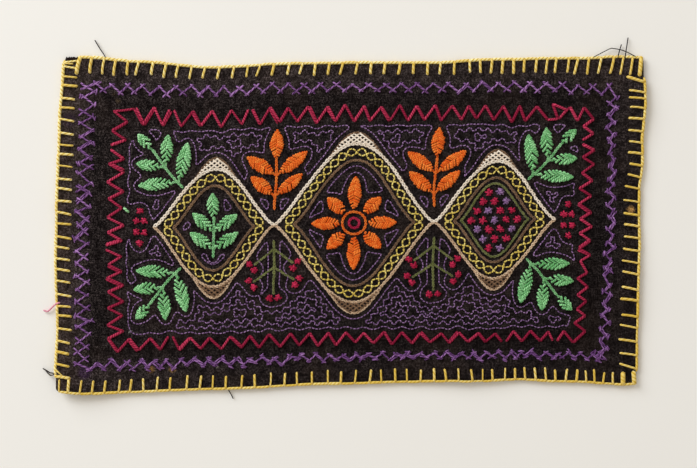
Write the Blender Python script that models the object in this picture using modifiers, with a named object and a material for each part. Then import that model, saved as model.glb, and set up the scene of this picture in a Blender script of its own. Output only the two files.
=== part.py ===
"""Embroidered ceremonial cloth, modelled as one thin panel.

The panel is a rectangle of doubled cotton with a folded hem all round. It lies on its flat
underside at z = 0. Its four edges wander a little from straight, and one corner and a few
stretches of the edge stand slightly off the surface. Metres, +Z up, with the origin at the
bottom centre of the panel's box, +X along its length and +Y towards its top edge.
"""

import math

import bpy

MM = 0.001

# Nominal panel, before the edges wander (mm).
LENGTH = 326.0
WIDTH = 188.0
CORNER_RADIUS = 3.0
PANEL_NAME = "cloth"

# How far each corner is pulled out of the nominal rectangle (mm): corner, across, up.
CORNER_PULLS = {
    "bottom_left": (-3.1, 0.8),
    "bottom_right": (-3.0, 4.9),
    "top_left": (1.7, 1.6),
    "top_right": (1.1, 1.3),
}

# How the four edges wander. Each row is (share of the way along, outward shift in mm).
TOP_WANDER = ((0.0, 0.0), (0.05, -0.2), (0.12, -2.4), (0.26, -5.7), (0.40, -3.5), (0.52, -3.0),
              (0.64, -3.0), (0.73, -1.2), (0.90, -0.3), (0.96, 0.4), (1.0, 0.0))
BOTTOM_WANDER = ((0.0, 0.0), (0.05, 1.5), (0.28, -0.1), (0.47, -2.2), (0.67, -2.9),
                 (0.72, -2.6), (0.79, -3.3), (0.88, -1.8), (0.97, 0.1), (1.0, 0.0))
LEFT_WANDER = ((0.0, 0.0), (0.10, 0.5), (0.17, 0.3), (0.40, 2.5), (0.60, 2.5), (0.80, 2.2),
               (0.96, 0.9), (1.0, 0.0))
RIGHT_WANDER = ((0.0, 0.0), (0.17, -0.2), (0.30, -0.3), (0.42, 0.0), (0.58, -0.8), (0.68, 0.7),
                (0.75, 0.3), (0.86, 1.2), (0.95, 0.3), (1.0, 0.0))

# Section from the edge inwards: (distance from the edge, thickness), both in mm.
HEM_SECTION = ((0.0, 1.3), (1.2, 2.2), (3.0, 2.5), (15.0, 2.4), (19.0, 1.9))

# Where the panel stands off the surface: (share along X, share along Y, reach mm, height mm).
LIFTS = (
    (0.0, 0.0, 46.0, 3.2),
    (1.0, 0.86, 30.0, 1.6),
    (1.0, 0.30, 38.0, 0.9),
    (0.70, 0.0, 30.0, 1.0),
    (0.0, 0.55, 26.0, 0.8),
)

# Grid cells between the hems, along X and along Y.
INNER_COLUMNS = 26
INNER_ROWS = 12

# Black cotton.
COTTON_COLOUR = (0.022, 0.016, 0.016, 1.0)
COTTON_ROUGHNESS = 0.92


def ease(share):
    """Smooth step from 0 to 1."""
    return share * share * (3.0 - 2.0 * share)


def read_rows(rows, at, shape=ease):
    """The second column of the rows at a value of the first, shaped between neighbours."""
    if at <= rows[0][0]:
        return rows[0][1]
    for (start, low), (end, high) in zip(rows, rows[1:]):
        if at <= end:
            return low + (high - low) * shape((at - start) / (end - start))
    return rows[-1][1]


def corner(name):
    """A corner of the panel in mm, measured from the nominal centre."""
    across, up = CORNER_PULLS[name]
    x = LENGTH / 2 if name.endswith("right") else -LENGTH / 2
    y = WIDTH / 2 if name.startswith("top") else -WIDTH / 2
    return x + across, y + up


def mix(start, end, share):
    """The point that lies a share of the way from start to end."""
    return tuple(a + (b - a) * share for a, b in zip(start, end))


def edge_point(start, end, along, outward, rows):
    """A point on one edge: the straight line between two corners, shifted outward."""
    x, y = mix(corner(start), corner(end), along)
    shift = read_rows(rows, along)
    return x + outward[0] * shift, y + outward[1] * shift


def plan_point(x, y):
    """Where a point of the nominal panel lies in plan, in mm.

    x runs from the left edge and y from the bottom edge. The four wandering edges are
    blended across the panel, so that every line of the cloth follows the nearest edge.
    """
    s, t = x / LENGTH, y / WIDTH
    bottom = edge_point("bottom_left", "bottom_right", s, (0, -1), BOTTOM_WANDER)
    top = edge_point("top_left", "top_right", s, (0, 1), TOP_WANDER)
    left = edge_point("bottom_left", "top_left", t, (-1, 0), LEFT_WANDER)
    right = edge_point("bottom_right", "top_right", t, (1, 0), RIGHT_WANDER)
    base = mix(corner("bottom_left"), corner("bottom_right"), s)
    head = mix(corner("top_left"), corner("top_right"), s)
    across, up, flat = mix(left, right, s), mix(bottom, top, t), mix(base, head, t)
    return tuple(a + b - c for a, b, c in zip(across, up, flat))


def round_corner(x, y):
    """Draws a point of the nominal panel in, so that its corner becomes a quarter circle."""
    over_x = CORNER_RADIUS - min(x, LENGTH - x)
    over_y = CORNER_RADIUS - min(y, WIDTH - y)
    if min(over_x, over_y) <= 0:
        return x, y
    pull = 1.0 - max(over_x, over_y) / math.hypot(over_x, over_y)
    toward_x = over_x if x < LENGTH / 2 else -over_x
    toward_y = over_y if y < WIDTH / 2 else -over_y
    return x + pull * toward_x, y + pull * toward_y


def lift(x, y):
    """How high the underside stands off the surface at a nominal point, in mm."""
    height = 0.0
    for share_x, share_y, reach, top in LIFTS:
        away = math.hypot(x - share_x * LENGTH, y - share_y * WIDTH) / reach
        if away < 1.0:
            height += top * ease(1.0 - away)
    return height


def thickness(x, y):
    """The panel's thickness at a nominal point, in mm."""
    from_edge = min(x, y, LENGTH - x, WIDTH - y)
    return read_rows(HEM_SECTION, from_edge, shape=lambda share: share)


def grid_lines(span, cells):
    """Where the grid's lines cross one side: close together on the hem, even between."""
    hem = [row[0] for row in HEM_SECTION]
    start, end = hem[-1], span - hem[-1]
    inner = [start + (end - start) * i / cells for i in range(1, cells)]
    return hem + inner + [span - distance for distance in reversed(hem)]


def cotton():
    """The panel's black cotton."""
    material = bpy.data.materials.new("black_cotton")
    material.use_nodes = True
    shader = material.node_tree.nodes["Principled BSDF"]
    shader.inputs["Base Color"].default_value = COTTON_COLOUR
    shader.inputs["Roughness"].default_value = COTTON_ROUGHNESS
    shader.inputs["Metallic"].default_value = 0.0
    return material


def nominal_points():
    """Every crossing of the grid's lines, row by row from the bottom edge."""
    columns = grid_lines(LENGTH, INNER_COLUMNS)
    rows = grid_lines(WIDTH, INNER_ROWS)
    return [(x, y) for y in rows for x in columns]


def underside():
    """The panel's underside as an open grid, with the thickness kept in a vertex group."""
    hem_cells = 2 * (len(HEM_SECTION) - 1)
    bpy.ops.mesh.primitive_grid_add(
        x_subdivisions=INNER_COLUMNS + hem_cells, y_subdivisions=INNER_ROWS + hem_cells, size=1.0)
    panel = bpy.context.object
    panel.name = panel.data.name = PANEL_NAME

    nominal = nominal_points()
    plan = [plan_point(*round_corner(x, y)) for x, y in nominal]
    centre = [(min(values) + max(values)) / 2 for values in zip(*plan)]
    thickest = max(row[1] for row in HEM_SECTION)
    weights = panel.vertex_groups.new(name="thickness")
    for vertex, (x, y), place in zip(panel.data.vertices, nominal, plan):
        vertex.co = (
            (place[0] - centre[0]) * MM, (place[1] - centre[1]) * MM, lift(x, y) * MM)
        weights.add([vertex.index], thickness(x, y) / thickest, "REPLACE")
    return panel, thickest


def build():
    """Clears the scene and makes the panel in its own collection."""
    for obj in list(bpy.data.objects):
        bpy.data.objects.remove(obj, do_unlink=True)
    collection = bpy.data.collections.new("ceremonial_cloth")
    bpy.context.scene.collection.children.link(collection)

    panel, thickest = underside()
    for old in list(panel.users_collection):
        old.objects.unlink(panel)
    collection.objects.link(panel)

    solidify = panel.modifiers.new("Thickness", "SOLIDIFY")
    solidify.thickness = thickest * MM
    solidify.offset = 1.0
    solidify.vertex_group = "thickness"
    panel.data.shade_smooth()
    panel.data.materials.append(cotton())


build()
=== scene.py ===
"""Embroidered ceremonial cloth: the cotton panel and every hand stitch on it.

Places on the cloth are (x, y, h): x from the left edge, y from the bottom edge of the nominal
rectangle, h above the front face. Panel.room turns them into places in the room. Lengths are in
millimetres, except in the room, where they are in metres.
"""

import logging
import math
from collections.abc import Callable
from dataclasses import dataclass, field
from enum import Enum, IntEnum
from functools import cached_property

import bmesh
import bpy
import numpy as np
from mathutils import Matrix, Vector
from mathutils.kdtree import KDTree


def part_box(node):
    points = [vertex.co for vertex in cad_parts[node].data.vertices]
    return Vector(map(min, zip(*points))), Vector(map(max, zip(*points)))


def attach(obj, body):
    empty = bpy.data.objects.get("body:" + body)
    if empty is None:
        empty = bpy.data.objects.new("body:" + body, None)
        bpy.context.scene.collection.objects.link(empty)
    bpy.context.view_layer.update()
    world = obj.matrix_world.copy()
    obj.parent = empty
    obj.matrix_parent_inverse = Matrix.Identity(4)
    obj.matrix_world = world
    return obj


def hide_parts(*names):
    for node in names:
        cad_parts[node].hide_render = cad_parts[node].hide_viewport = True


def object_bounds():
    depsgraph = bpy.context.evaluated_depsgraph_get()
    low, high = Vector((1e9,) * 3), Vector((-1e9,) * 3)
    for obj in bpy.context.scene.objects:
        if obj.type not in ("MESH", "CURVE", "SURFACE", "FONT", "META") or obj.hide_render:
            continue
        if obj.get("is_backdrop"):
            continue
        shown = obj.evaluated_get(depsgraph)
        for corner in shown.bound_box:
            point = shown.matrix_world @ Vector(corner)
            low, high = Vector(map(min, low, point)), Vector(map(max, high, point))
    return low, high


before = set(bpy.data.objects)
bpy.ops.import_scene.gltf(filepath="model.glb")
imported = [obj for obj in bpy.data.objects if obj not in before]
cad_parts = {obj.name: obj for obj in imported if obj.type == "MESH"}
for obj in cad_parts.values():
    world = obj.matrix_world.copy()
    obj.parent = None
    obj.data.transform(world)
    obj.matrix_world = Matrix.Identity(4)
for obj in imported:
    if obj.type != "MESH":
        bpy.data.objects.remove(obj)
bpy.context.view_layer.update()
log = logging.getLogger("ceremonial_cloth")

MM = 0.001
BODY = "root"
CLOTH_NODE = "cloth"
Array = np.ndarray
Rows = tuple[tuple[float, float], ...]
Colour = tuple[float, float, float, float]
Places = tuple[tuple[float, ...], ...]


class Side(Enum):
    """The four sides of the cloth, in the order the borders are worked."""

    TOP = "top"
    RIGHT = "right"
    BOTTOM = "bottom"
    LEFT = "left"


class Strand(IntEnum):
    """The modelled lengths of yarn, by how many points their paths have."""

    LEG = 8
    BAR = 5
    DASH = 4
    TAIL = 25


# How far each corner, by (at right, at top), is pulled out of the nominal rectangle.
CORNER_PULLS = {(False, False): (-3.1, 0.8), (True, False): (-3.0, 4.9), (False, True): (1.7, 1.6),
                (True, True): (1.1, 1.3)}

# How far each edge wanders outwards: (share of the way along, shift).
WANDER = {
    Side.TOP: ((0, 0), (0.05, -0.2), (0.12, -2.4), (0.26, -5.7), (0.4, -3.5), (0.52, -3),
               (0.64, -3), (0.73, -1.2), (0.9, -0.3), (0.96, 0.4), (1, 0)),
    Side.BOTTOM: ((0, 0), (0.05, 1.5), (0.28, -0.1), (0.47, -2.2), (0.67, -2.9), (0.72, -2.6),
                  (0.79, -3.3), (0.88, -1.8), (0.97, 0.1), (1, 0)),
    Side.LEFT: ((0, 0), (0.1, 0.5), (0.17, 0.3), (0.4, 2.5), (0.6, 2.5), (0.8, 2.2),
                (0.96, 0.9), (1, 0)),
    Side.RIGHT: ((0, 0), (0.17, -0.2), (0.3, -0.3), (0.42, 0), (0.58, -0.8), (0.68, 0.7),
                 (0.75, 0.3), (0.86, 1.2), (0.95, 0.3), (1, 0)),
}

# Where the cloth stands off the surface: (share across and up, reach, height).
LIFTS = (((0, 0), 46, 3.2), ((1, 0.86), 30, 1.6), ((1, 0.3), 38, 0.9), ((0.7, 0), 30, 1),
         ((0, 0.55), 26, 0.8))


def dye(red: int, green: int, blue: int) -> Colour:
    """A colour as it is given, 0 to 255 a share, in the linear light it reflects."""
    shares = [value / 255.0 for value in (red, green, blue)]
    return (*(s / 12.92 if s <= 0.04045 else ((s + 0.055) / 1.055) ** 2.4 for s in shares), 1.0)


def eased(rows: Rows, at: Array) -> Array:
    """Reads a two-column table, with a smooth step between neighbouring rows.

    Args:
        rows: (mark, value) pairs with rising marks.
        at: the marks to read.

    Returns:
        The value at each mark.
    """
    marks, values = np.array(rows, float).T
    place = np.interp(at, marks, np.arange(len(marks)))
    index = np.minimum(place.astype(int), len(marks) - 2)
    share = place - index
    return values[index] + (values[index + 1] - values[index]) * share * share * (3.0 - 2.0 * share)


def unit(vectors: Array) -> Array:
    """Scales each vector to length one, leaving a zero vector at zero."""
    return vectors / np.maximum(np.linalg.norm(vectors, axis=-1, keepdims=True), 1e-9)


def ray(degrees: float | Array) -> Array:
    """The flat unit vector along a bearing."""
    return np.stack([np.cos(np.radians(degrees)), np.sin(np.radians(degrees))], axis=-1)


def left_of(headings: Array) -> Array:
    """Turns flat vectors a quarter turn to the left."""
    return np.stack([-headings[..., 1], headings[..., 0]], axis=-1)


def raised(flat: Array, height: float | Array) -> Array:
    """Gives flat places their heights."""
    return np.concatenate([flat, np.broadcast_to(height, flat.shape[:-1])[..., None]], axis=-1)


def runs_of(route: Array) -> Array:
    """How far along a line of points each point lies."""
    return np.concatenate([[0.0], np.cumsum(np.linalg.norm(np.diff(route, axis=0), axis=1))])


def spread(route: Array, count: int) -> Array:
    """A given number of evenly spaced points along a line of points, both ends included."""
    marks = np.linspace(0.0, runs_of(route)[-1], count)
    return np.stack([np.interp(marks, runs_of(route), column) for column in route.T], axis=1)


def paced(route: Array, step: float) -> Array:
    """Points along a line of points, at the even step nearest to the one wanted."""
    return spread(route, max(2, int(round(runs_of(route)[-1] / step)) + 1))


def bent(points: Places, step: float = 0.5) -> Array:
    """Draws a smooth line through a few points, as yarn is eased round them.

    Args:
        points: the places the line passes.
        step: spacing of the points that come back.

    Returns:
        The smooth line, evenly paced.
    """
    marks = np.array(points, float)
    padded = np.vstack([2 * marks[0] - marks[1], marks, 2 * marks[-1] - marks[-2]])
    t = np.linspace(0.0, 1.0, 17)[:-1, None]
    pieces = [0.5 * (2 * start + (end - before) * t
                     + (2 * before - 5 * start + 4 * end - after) * t ** 2
                     + (3 * start - before - 3 * end + after) * t ** 3)
              for before, start, end, after in zip(padded, padded[1:], padded[2:], padded[3:])]
    return paced(np.vstack([*pieces, marks[-1:]]), step)


def beside_line(route: Array, shift: Array) -> Array:
    """Moves each point of a line sideways, to its left."""
    return route + left_of(unit(np.gradient(route, axis=0))) * shift[:, None]


def straight(start: Array, end: Array, nodes: int, rise: float, sink: float = 0.30) -> Array:
    """Draws straight stitches that come up, lie on the cloth and go down again.

    Args:
        start: (stitches, 2) where each comes up.
        end: (stitches, 2) where each goes down.
        nodes: points along each path.
        rise: height of the yarn's middle over the cloth.
        sink: how deep both ends go.

    Returns:
        (stitches, nodes, 3) paths.
    """
    share = np.linspace(0.0, 1.0, nodes)
    share[1], share[-2] = share[1] * 0.45, 1 - (1 - share[-2]) * 0.45
    height = np.full(nodes, rise)
    height[[0, -1]], height[[1, -2]] = -sink, rise * 0.8
    return raised(start[:, None] + (end - start)[:, None] * share[None, :, None], height)


@dataclass(frozen=True)
class Panel:
    """The hemmed cotton, and where any place on it lies in the room.

    Its methods take places (x, y), or (x, y, h), on the last axis of an array.
    """

    length: float = 326.0
    width: float = 188.0
    corner_radius: float = 3.0
    rim: float = 1.2  # how far the folded edge stands in, leaving room for the edge yarn
    back_gap: float = 0.45  # under the back, taken up by the reverse stitches
    hem_section: Rows = ((0, 1.2), (16.5, 1.2), (18.5, 0.85))  # (from the edge, thickness)

    @property
    def size(self) -> Array:
        """Length and width."""
        return np.array([self.length, self.width])

    def plan(self, flat: Array) -> Array:
        """Lays places out as the pulled and wandering edges take them.

        Args:
            flat: nominal (x, y) places.

        Returns:
            The places, told from the nominal centre.
        """
        share = flat / self.size
        s, t = share[..., 0], share[..., 1]
        shift_x = s * eased(WANDER[Side.RIGHT], t) - (1 - s) * eased(WANDER[Side.LEFT], t)
        shift_y = t * eased(WANDER[Side.TOP], s) - (1 - t) * eased(WANDER[Side.BOTTOM], s)
        places = flat - self.size / 2 + np.stack([shift_x, shift_y], axis=-1)
        for corner, pull in CORNER_PULLS.items():
            near = np.where(corner, share, 1 - share).prod(axis=-1, keepdims=True)
            places = places + near * pull
        return places

    @cached_property
    def centre(self) -> Array:
        """The middle of the outline's extents.

        Returns:
            Its place, told from the nominal centre.
        """
        marks = np.linspace(0.0, 1.0, 200)
        outline = self.plan(np.stack(np.meshgrid(marks, marks), axis=-1) * self.size)
        return (outline.min(axis=(0, 1)) + outline.max(axis=(0, 1))) / 2

    def rounded(self, flat: Array) -> Array:
        """Draws places in, so that each square corner becomes a quarter circle.

        Args:
            flat: nominal (x, y) places.

        Returns:
            The places, moved.
        """
        over = self.corner_radius - np.minimum(flat, self.size - flat)
        reach = np.maximum(np.linalg.norm(over, axis=-1), 1e-6)
        pull = np.where(over.min(axis=-1) > 0, 1.0 - over.max(axis=-1) / reach, 0.0)
        return flat + pull[..., None] * np.where(flat < self.size / 2, over, -over)

    def from_edge(self, flat: Array) -> Array:
        """Distance from the nearest edge, never under zero."""
        return np.minimum(flat, self.size - flat).min(axis=-1).clip(0.0)

    def thickness(self, flat: Array) -> Array:
        """Thickness of the cloth: doubled over in the hem, thinner in the field."""
        return eased(self.hem_section, self.from_edge(flat))

    def lift(self, flat: Array) -> Array:
        """How high the back of the cloth stands off the surface."""
        gaps = [np.linalg.norm(flat - self.size * spot, axis=-1) / reach for spot, reach, _ in LIFTS]
        return sum(row[2] * eased(((0, 1), (1, 0)), gap) for row, gap in zip(LIFTS, gaps))

    def ripple(self, flat: Array) -> Array:
        """The slight unevenness that pulled stitches leave in the cloth.

        Args:
            flat: nominal (x, y) places.

        Returns:
            The height it adds at each place.
        """
        x, y = np.moveaxis(flat, -1, 0)
        quick = np.sin(x / 5.1 + 1.7 * np.sin(y / 9.0)) * np.sin(y / 4.3 + 0.9 * np.sin(x / 11.0))
        return 0.10 * np.sin(x / 17.0 + 1.2 * np.sin(y / 23.0)) * np.sin(y / 13.0 + 0.7) + 0.05 * quick

    def face(self, flat: Array) -> Array:
        """Height of the front face over the surface."""
        return self.lift(flat) + self.back_gap + self.thickness(flat) + self.ripple(flat)

    def room(self, places: Array) -> Array:
        """Turns places on the cloth into places in the room.

        Args:
            places: (x, y, h) places.

        Returns:
            The same places in metres.
        """
        flat, height = places[..., :2], places[..., 2]
        low, high = (np.array(corner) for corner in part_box(CLOTH_NODE))
        spots = (self.plan(flat) - self.centre) * MM + ((low + high) / 2)[:2]
        return raised(spots, (self.face(flat) + height) * MM + low[2])

    def beside(self, side: Side, along: Array, inward: float | Array) -> Array:
        """Finds places told from one side of the cloth.

        Args:
            side: the side they are measured from.
            along: distance along it, from the left or from the bottom.
            inward: distance in from it.

        Returns:
            (x, y) places.
        """
        along, inward = np.broadcast_arrays(along, inward)
        x = {Side.LEFT: inward, Side.RIGHT: self.length - inward}.get(side, along)
        y = {Side.BOTTOM: inward, Side.TOP: self.width - inward}.get(side, along)
        return np.stack([x, y], axis=-1)

    def behind(self, places: Array) -> Array:
        """Moves places to the back, where h is read as the drop below the back face."""
        return raised(places[..., :2], -self.thickness(places[..., :2]) - places[..., 2])


# ---------------- shader writing


def arithmetic(step: str, swapped: bool = False) -> Callable[..., "Signal"]:
    """Makes the method behind one arithmetic sign or word.

    Args:
        step: the operation.
        swapped: whether the other number stands first.

    Returns:
        The method.
    """

    def method(self: "Signal", other: "Signal | float" = 0.0) -> "Signal":
        """Works the step on this number and another."""
        inputs = {0: other, 1: self} if swapped else {0: self, 1: other}
        return Signal(self.graph, self.graph.node("ShaderNodeMath", {"operation": step}, inputs).outputs[0])

    return method


@dataclass(frozen=True)
class Signal:
    """A number that varies over a surface, with the usual arithmetic."""

    graph: "Graph"
    socket: bpy.types.NodeSocket

    __add__ = arithmetic("ADD")
    __radd__ = arithmetic("ADD", swapped=True)
    __sub__ = arithmetic("SUBTRACT")
    __rsub__ = arithmetic("SUBTRACT", swapped=True)
    __mul__ = arithmetic("MULTIPLY")
    __rmul__ = arithmetic("MULTIPLY", swapped=True)
    __truediv__ = arithmetic("DIVIDE")
    __pow__ = arithmetic("POWER")
    least = arithmetic("MINIMUM")
    size = arithmetic("ABSOLUTE")
    sine = arithmetic("SINE")

    def wave(self, period: float) -> "Signal":
        """A sine of the number, from -1 to 1, with the given period."""
        return (self * (2 * math.pi / period)).sine()

    def rise(self, start: float, end: float) -> "Signal":
        """Makes a smooth step of the number.

        Args:
            start: where it is 0.
            end: where it is 1.

        Returns:
            The step.
        """
        sockets = {"Value": self, "From Min": start, "From Max": end}
        node = self.graph.node("ShaderNodeMapRange", {"interpolation_type": "SMOOTHSTEP"}, sockets)
        return Signal(self.graph, node.outputs["Result"])


class Graph:
    """The nodes of one material."""

    def __init__(self, name: str) -> None:
        """Starts an empty material.

        Args:
            name: name of the material.
        """
        self.material = bpy.data.materials.new(name)
        self.material.use_nodes = True
        self.tree = self.material.node_tree
        self.tree.nodes.clear()

    def node(self, kind: str, settings: dict[str, object] | None = None,
             sockets: dict[str | int, object] | None = None) -> bpy.types.Node:
        """Adds a node.

        Args:
            kind: identifier of the node type.
            settings: the node's own properties, which are set first.
            sockets: input values, or signals and outputs to link.

        Returns:
            The new node.
        """
        node = self.tree.nodes.new(kind)
        for key, value in (settings or {}).items():
            setattr(node, key, value)
        for key, value in (sockets or {}).items():
            source = value.socket if isinstance(value, Signal) else value
            if isinstance(source, bpy.types.NodeSocket):
                self.tree.links.new(source, node.inputs[key])
            else:
                node.inputs[key].default_value = source
        return node

    def layer(self, name: str) -> tuple[Signal, Signal]:
        """Reads one of the piece's own UV maps.

        Args:
            name: name of the map.

        Returns:
            Its two numbers.
        """
        source = self.node("ShaderNodeUVMap", {"uv_map": name}).outputs["UV"]
        parts = self.node("ShaderNodeSeparateXYZ", None, {0: source}).outputs
        return Signal(self, parts["X"]), Signal(self, parts["Y"])

    def attribute(self, name: str) -> Signal:
        """A number kept on the piece's own points."""
        return Signal(self, self.node("ShaderNodeAttribute", {"attribute_name": name}).outputs["Fac"])

    def noise(self, x: Signal | float, y: Signal | float, scale: float, detail: float) -> Signal:
        """Makes soft noise from 0 to 1 over two numbers.

        Args:
            x: first number.
            y: second number.
            scale: how many features to a unit.
            detail: how many finer layers are added.

        Returns:
            The noise.
        """
        place = self.node("ShaderNodeCombineXYZ", None, {"X": x, "Y": y}).outputs[0]
        node = self.node("ShaderNodeTexNoise", {"noise_dimensions": "2D"},
                         {"Vector": place, "Scale": scale, "Detail": detail})
        return Signal(self, node.outputs["Fac"])

    def blend(self, share: Signal | float, first: object, second: object) -> bpy.types.NodeSocket:
        """Mixes two colours, or the outputs that give them, by the second one's share."""
        return self.node("ShaderNodeMix", {"data_type": "RGBA", "clamp_factor": True},
                         {0: share, 6: first, 7: second}).outputs[2]

    def finish(self, colour: object, roughness: Signal | float, height: Signal,
               relief: float, sheen: float, specular: float) -> bpy.types.Material:
        """Closes the material with one cloth-like surface.

        Args:
            colour: the base colour.
            roughness: the roughness.
            height: relief height, 0 to 1.
            relief: depth of the relief.
            sheen: how much nap shows at grazing angles.
            specular: specular level.

        Returns:
            The finished material.
        """
        bump = self.node("ShaderNodeBump", None,
                         {"Strength": 1.0, "Distance": relief * MM, "Height": height})
        shader = self.node("ShaderNodeBsdfPrincipled", None, {
            "Base Color": colour, "Roughness": roughness, "Normal": bump.outputs[0],
            "Sheen Weight": sheen, "Specular IOR Level": specular})
        self.node("ShaderNodeOutputMaterial", None, {"Surface": shader.outputs[0]})
        return self.material


@dataclass(frozen=True)
class YarnFinish:
    """Dyed, twisted two-ply yarn."""

    name: str
    slot: str | None
    deep: Colour  # painted shade in the grooves of the twist; also mixed in for darker patches and painted shade on whole stitches
    body: Colour
    bright: Colour  # painted highlight on the crowns of the plies and on raised fibres
    twist: float = 2.6  # length of one full turn
    relief: float = 0.16
    sheen: float = 0.25

    def material(self) -> bpy.types.Material:
        """Writes the yarn's material: plies with painted shade and highlights, fibres, and each stitch's own
        lightness, partly painted light.

        Returns:
            The material.
        """
        graph = Graph(self.name)
        along, around = graph.layer("lay")
        tone_and_painted_light = graph.attribute("tone_and_painted_light")
        ply = (along / self.twist + around * 2.0).wave(2.0).size()
        fibre = graph.noise(along * 0.9 + around * 1.6, around * 7.0 - along * 2.2, 1.6, 3.0)
        patch = graph.noise(along * 0.35 + tone_and_painted_light * 40.0, around, 1.0, 1.0)
        # Painted shade: darker in the grooves between the plies.
        groove = graph.blend(ply.rise(0.0, 0.75), self.deep, self.body)
        # Painted highlight on the crowns of the plies, stronger on lighter stitches.
        lit = (fibre.rise(0.42, 0.78) * 0.55 + tone_and_painted_light * 0.5) * ply.rise(0.2, 0.9)
        # Darker patches of dye, darker stitches at random, and painted shade on stitches towards the bottom
        # right.
        tint_and_painted_light = patch.rise(0.35, 0.75) * 0.16 + (0.9 - tone_and_painted_light) * 0.4
        colour = graph.blend(tint_and_painted_light, graph.blend(lit, groove, self.bright), self.deep)
        height = ply * 0.75 + fibre * 0.25
        return graph.finish(colour, 0.7 + fibre * 0.25, height, self.relief, self.sheen, 0.12)


@dataclass(frozen=True)
class CottonFinish:
    """Black plain-woven cotton with lint, browner older patches, a few old stains, and painted light that
    makes it lighter towards the top left.
    """

    panel: Panel
    pitch: float = 0.52  # between threads of the weave
    black: Colour = dye(12, 8, 8)
    tint_and_painted_light: Colour = dye(32, 25, 23)  # the hem's lighter colour, a little everywhere and mostly where painted light falls from the top left
    deep: Colour = dye(7, 4, 4)  # darker: the band between the two inner borders, and painted shade between the threads of the weave
    lint: Colour = dye(104, 92, 90)
    warm: Colour = dye(66, 50, 38)  # browner, older patches
    # Each stain or bit of lint: (x, y, radius, strength, colour).
    marks: tuple[tuple[float, float, float, float, Colour], ...] = (
        (32.5, 164.3, 1.6, 0.6, dye(96, 78, 50)), (30.0, 168.0, 1.4, 0.3, dye(96, 78, 50)),
        (53.7, 13.4, 2.4, 1.0, dye(150, 112, 64)), (65.8, 13.0, 2.2, 1.0, dye(172, 132, 84)),
        (320.4, 100.2, 2.4, 1.0, dye(206, 156, 90)), (41.5, 35.0, 1.0, 0.9, dye(170, 166, 160)),
        (91.0, 13.7, 1.0, 0.9, dye(160, 150, 140)), (6.5, 50.0, 6.0, 0.35, dye(76, 52, 84)),
        (6.5, 152.0, 5.0, 0.3, dye(70, 50, 78)), (17.0, 12.8, 4.5, 0.4, dye(78, 48, 92)))

    def material(self) -> bpy.types.Material:
        """Writes the cotton's material.

        Returns:
            The material.
        """
        graph = Graph("black_cotton")
        x, y = graph.layer("place")
        inward = x.least(self.panel.length - x).least(y.least(self.panel.width - y))
        weave = (x.wave(2 * self.pitch) * y.wave(2 * self.pitch)) * 0.5 + 0.5
        slub = graph.noise(x * 1.9, y * 0.16, 1.0, 2.0) + graph.noise(x * 0.16, y * 1.9, 1.0, 2.0)
        fluff = graph.noise(x, y, 1.0, 3.0)
        speck = graph.noise(x + 31.0, y + 17.0, 1.9, 2.0)
        mottle = graph.noise(x + 53.0, y + 7.0, 0.24, 2.0)
        cloud = graph.noise(x, y, 0.035, 2.0)
        # Painted light: lighter towards the top left, where the lamp stands, and darker towards the bottom
        # right.
        top_left_painted_light = (y / self.panel.width * 0.6
                + (1.0 - x / self.panel.length) ** 2.0 * 0.8 - 0.05).least(1.0)

        band = inward.rise(19.5, 23.0) * (1.0 - inward.rise(29.0, 33.0))
        # The hem: a little lighter everywhere, and much lighter where the painted light falls.
        hem = (1.0 - inward.rise(16.0, 20.0)) * (top_left_painted_light.rise(0.22, 0.72) * 0.85 + 0.15)
        colour = graph.blend(hem, graph.blend(band, self.black, self.deep), self.tint_and_painted_light)
        aged = cloud.rise(0.45, 0.7) * 0.14 + hem * (1.0 - x.rise(0.0, 22.0)) * 0.4
        colour = graph.blend(aged, colour, self.warm)
        colour = graph.blend(slub.rise(0.95, 1.35) * 0.16, colour, self.lint)
        caught = fluff.rise(0.46, 0.74) * 0.46 + speck.rise(0.52, 0.72) * 0.55
        # How much caught lint shows: more on the hem and towards the top left, as painted light, and less in
        # the darker band.
        lit = (0.31 + top_left_painted_light * 0.42 + hem * 0.44 - band * 0.1) * (0.55 + mottle.rise(0.25, 0.75) * 0.9)
        colour = graph.blend(caught * lit, colour, self.lint)
        # Painted shade between the threads of the weave, and darker patches at random.
        shade = ((1.0 - weave.rise(0.1, 0.6)) * 0.4 + (1.0 - fluff.rise(0.3, 0.5)) * 0.4
                 + (1.0 - mottle.rise(0.3, 0.6)) * 0.35)
        colour = graph.blend(shade, colour, self.deep)
        for mark_x, mark_y, radius, strength, tint in self.marks:
            away = ((x - mark_x) ** 2.0 + (y - mark_y) ** 2.0) ** 0.5 + (1.0 - fluff) * 2.4
            mark = (1.0 - away.rise(radius * 0.7, radius + 1.6)) * speck.rise(0.34, 0.6)
            colour = graph.blend(mark * strength, colour, tint)
        return graph.finish(colour, 0.93, weave * 0.6 + slub * 0.25 + fluff * 0.15, 0.16, 0.02, 0.03)


@dataclass(frozen=True)
class TableFinish:
    """Smooth pale paper under the cloth, with a very faint tooth."""

    colour: Colour = dye(244, 241, 234)

    def material(self) -> bpy.types.Material:
        """Writes the floor's material.

        Returns:
            The material.
        """
        graph = Graph("pale_paper")
        place = graph.node("ShaderNodeTexCoord").outputs["Object"]
        tooth = graph.node("ShaderNodeTexNoise", None, {"Vector": place, "Scale": 900.0, "Detail": 2.0})
        return graph.finish(self.colour, 0.9, Signal(graph, tooth.outputs["Fac"]), 0.02, 0.0, 0.2)


# ---------------- stitches


@dataclass
class Form:
    """One modelled stitch shape, ready to be copied along every stitch."""

    spots: Array  # for a strand: across, above, and the share along
    faces: list[tuple[int, ...]]
    lay: Array  # the share along and the turn around, for each face corner


def turn_share(x: Array, y: Array) -> Array:
    """The share of a full turn at which each place stands round the origin."""
    return np.arctan2(y, x) / (2 * math.pi) % 1.0


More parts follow.
